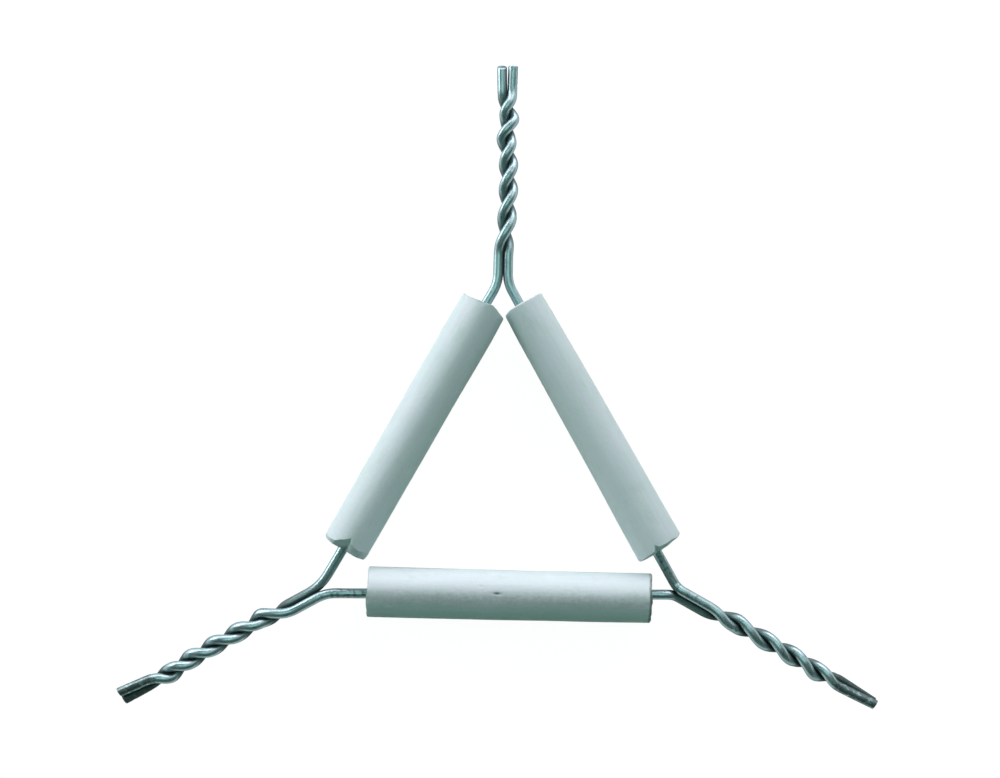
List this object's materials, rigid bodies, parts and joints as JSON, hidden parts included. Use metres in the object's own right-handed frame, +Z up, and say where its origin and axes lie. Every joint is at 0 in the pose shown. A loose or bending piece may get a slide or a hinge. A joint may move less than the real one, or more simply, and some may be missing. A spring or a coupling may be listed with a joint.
{
  "type": "pipe clay triangle",
  "caption": "Triangle of clay tubes threaded loosely on wires, whose ends are twisted together in pairs into tails that rest on a ring or tripod.",
  "frame": {"origin": "middle of the triangle, on the plane that the tubes lie on", "axes": "+Z up out of the triangle, +Y towards the tail at the top corner, +X to the right along the bottom tube"},
  "size_m": [0.1614, 0.1366, 0.0106],
  "materials": {
    "clay": "unglazed fired pipe clay, off-white with a cool grey-green cast, matt and slightly uneven",
    "wire": "galvanised iron wire, dull grey with soft streaks along its length"
  },
  "bodies": {
    "wire_frame": {"wire_bottom": "wire", "wire_left": "wire", "wire_right": "wire"},
    "bottom_tube": {"tube_bottom": "clay"},
    "left_tube": {"tube_left": "clay"},
    "right_tube": {"tube_right": "clay"}
  },
  "joints": [
    {"name": "spin_bottom_tube", "type": "hinge", "parent": "wire_frame", "child": "bottom_tube", "pos_m": [0.00195, -0.02281, 0.0053], "axis": [-0.9997, 0.0235, 0], "continuous": true},
    {"name": "spin_left_tube", "type": "hinge", "parent": "wire_frame", "child": "left_tube", "pos_m": [-0.01829, 0.01296, 0.0051], "axis": [0.4979, 0.8673, 0], "continuous": true},
    {"name": "spin_right_tube", "type": "hinge", "parent": "wire_frame", "child": "right_tube", "pos_m": [0.0194, 0.01313, 0.00515], "axis": [0.4893, -0.8721, 0], "continuous": true}
  ]
}
